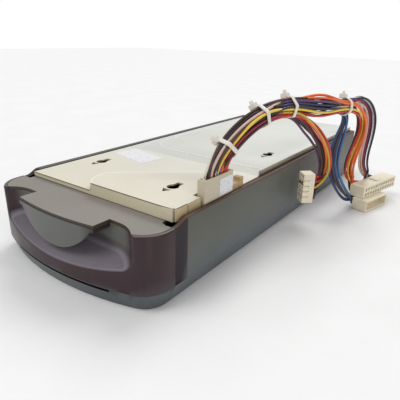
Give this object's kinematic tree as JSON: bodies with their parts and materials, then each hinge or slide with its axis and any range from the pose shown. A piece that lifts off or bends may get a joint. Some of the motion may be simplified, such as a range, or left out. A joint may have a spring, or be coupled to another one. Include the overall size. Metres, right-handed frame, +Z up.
{
  "type": "bill validator",
  "caption": "Banknote validator: bezel with note slot and finger scoop on a long plastic housing, sheet covers with keyholes, and a plugged-in wire harness with loose connectors.",
  "frame": {"origin": "middle of the body's underside, halfway between the bezel's front and the housing's rear end", "axes": "+X across the notes, +Y from the bezel to the rear end, +Z up, away from the face that it rests on"},
  "size_m": [0.1826, 0.312, 0.1018],
  "materials": {
    "bezel_plastic": "fine grained dark mauve grey",
    "deck_plastic": "fine grained warm grey",
    "housing_plastic": "fine grained dark grey",
    "cream_sheet": "satin cream paint",
    "grey_sheet": "satin pale grey paint",
    "label_paper": "matt white",
    "black_plastic": "matt black",
    "steel": "bright zinc",
    "brass": "plain",
    "white_nylon": "natural nylon",
    "roller_rubber": "matt",
    "clear_plastic": "clear, slightly smoked",
    "board_green": "solder mask",
    "component_black": "moulded",
    "header_tan": "tan glass-filled nylon",
    "plug_white": "natural nylon",
    "connector_ivory": "natural nylon",
    "wire_bundle": "mixed colours of insulated wire"
  },
  "bodies": {
    "root": {"bezel_shell": "bezel_plastic", "bezel_deck": "deck_plastic", "lower_housing": "housing_plastic", "front_cover": "cream_sheet", "rear_cover": "grey_sheet", "rating_label": "label_paper", "door_hinge_pin": "steel", "entry_guide": "housing_plastic", "housing_screws": "steel", "upper_guide": "black_plastic", "gate_pin": "steel", "shaft_bushes": "brass", "drive_belt": "roller_rubber", "idler_pin": "steel", "transport_motor": "steel", "sensor_window": "clear_plastic", "sensor_head": "black_plastic", "stack_frame": "black_plastic", "guide_posts": "steel", "stacker_motor": "steel", "main_board": "board_green", "board_components": "component_black", "board_screws": "steel", "header_shroud": "header_tan", "harness_plug": "plug_white", "plug_label": "label_paper", "small_connector": "connector_ivory", "upper_connector": "connector_ivory", "lower_connector": "connector_ivory", "cable_ties": "white_nylon", "harness_trunk_lower": "wire_bundle", "harness_trunk_upper": "wire_bundle", "harness_small_branch": "wire_bundle", "harness_lower_branch": "wire_bundle", "harness_middle_branch": "wire_bundle", "harness_outer_branch": "wire_bundle"},
    "door": {"access_door": "housing_plastic", "lower_light_bar": "clear_plastic"},
    "gate": {"entry_gate": "black_plastic"},
    "front_drive": {"front_drive_shaft": "steel", "front_drive_rollers": "roller_rubber", "front_pulley": "black_plastic", "front_drive_gear": "white_nylon"},
    "rear_drive": {"rear_drive_shaft": "steel", "rear_drive_rollers": "roller_rubber", "rear_pulley": "black_plastic"},
    "idler": {"idler_gear": "white_nylon"},
    "motor_rotor": {"motor_pinion": "brass", "transport_motor_shaft": "steel"},
    "front_pinch": {"front_pinch_shaft": "steel", "front_pinch_rollers": "black_plastic"},
    "rear_pinch": {"rear_pinch_shaft": "steel", "rear_pinch_rollers": "black_plastic"},
    "pusher": {"pusher_plate": "white_nylon", "pusher_rack": "white_nylon"},
    "stacker_rotor": {"stacker_pinion": "brass", "stacker_motor_shaft": "steel"},
    "pressure": {"pressure_plate": "steel", "stack_springs": "steel"}
  },
  "joints": [
    {"name": "access_door_hinge", "type": "hinge", "parent": "root", "child": "door", "pos_m": [0, 0.02, 0.0034], "axis": [1, 0, 0], "range_deg": [0, 70]},
    {"name": "entry_gate_hinge", "type": "hinge", "parent": "root", "child": "gate", "pos_m": [0, -0.123, 0.014], "axis": [1, 0, 0], "range_deg": [0, 40], "stiffness_Nm_per_rad": 0.002, "springref_deg": -5.73},
    {"name": "front_drive_spin", "type": "hinge", "parent": "root", "child": "front_drive", "pos_m": [0, -0.095, 0.0155], "axis": [1, 0, 0], "continuous": true},
    {"name": "rear_drive_spin", "type": "hinge", "parent": "root", "child": "rear_drive", "pos_m": [0, -0.022, 0.0155], "axis": [1, 0, 0], "continuous": true},
    {"name": "idler_spin", "type": "hinge", "parent": "root", "child": "idler", "pos_m": [0, -0.07555, 0.02022], "axis": [1, 0, 0], "continuous": true},
    {"name": "motor_spin", "type": "hinge", "parent": "root", "child": "motor_rotor", "pos_m": [0, -0.06, 0.024], "axis": [1, 0, 0], "continuous": true},
    {"name": "front_pinch_spin", "type": "hinge", "parent": "door", "child": "front_pinch", "pos_m": [0, -0.095, 0.00525], "axis": [1, 0, 0], "continuous": true},
    {"name": "rear_pinch_spin", "type": "hinge", "parent": "door", "child": "rear_pinch", "pos_m": [0, -0.022, 0.00525], "axis": [1, 0, 0], "continuous": true},
    {"name": "pusher_lift", "type": "slide", "parent": "root", "child": "pusher", "axis": [0, 0, 1], "range_m": [0, 0.0044]},
    {"name": "stacker_spin", "type": "hinge", "parent": "root", "child": "stacker_rotor", "pos_m": [0, 0.005, 0.026], "axis": [1, 0, 0], "range_deg": [0, 42.1]},
    {"name": "pressure_plate_slide", "type": "slide", "parent": "root", "child": "pressure", "axis": [0, 0, 1], "range_m": [0, 0.018], "stiffness_N_per_m": 60, "springref_m": -0.01, "deforming": ["stack_springs"]}
  ],
  "couplings": [
    {"joint": "rear_drive_spin", "follows": "front_drive_spin", "ratio": 1},
    {"joint": "idler_spin", "follows": "front_drive_spin", "ratio": -1},
    {"joint": "motor_spin", "follows": "front_drive_spin", "ratio": 1.6667},
    {"joint": "front_pinch_spin", "follows": "front_drive_spin", "ratio": -2.4643},
    {"joint": "rear_pinch_spin", "follows": "front_drive_spin", "ratio": -2.4643},
    {"joint": "stacker_spin", "follows": "pusher_lift", "rad_per_m": 166.67}
  ]
}
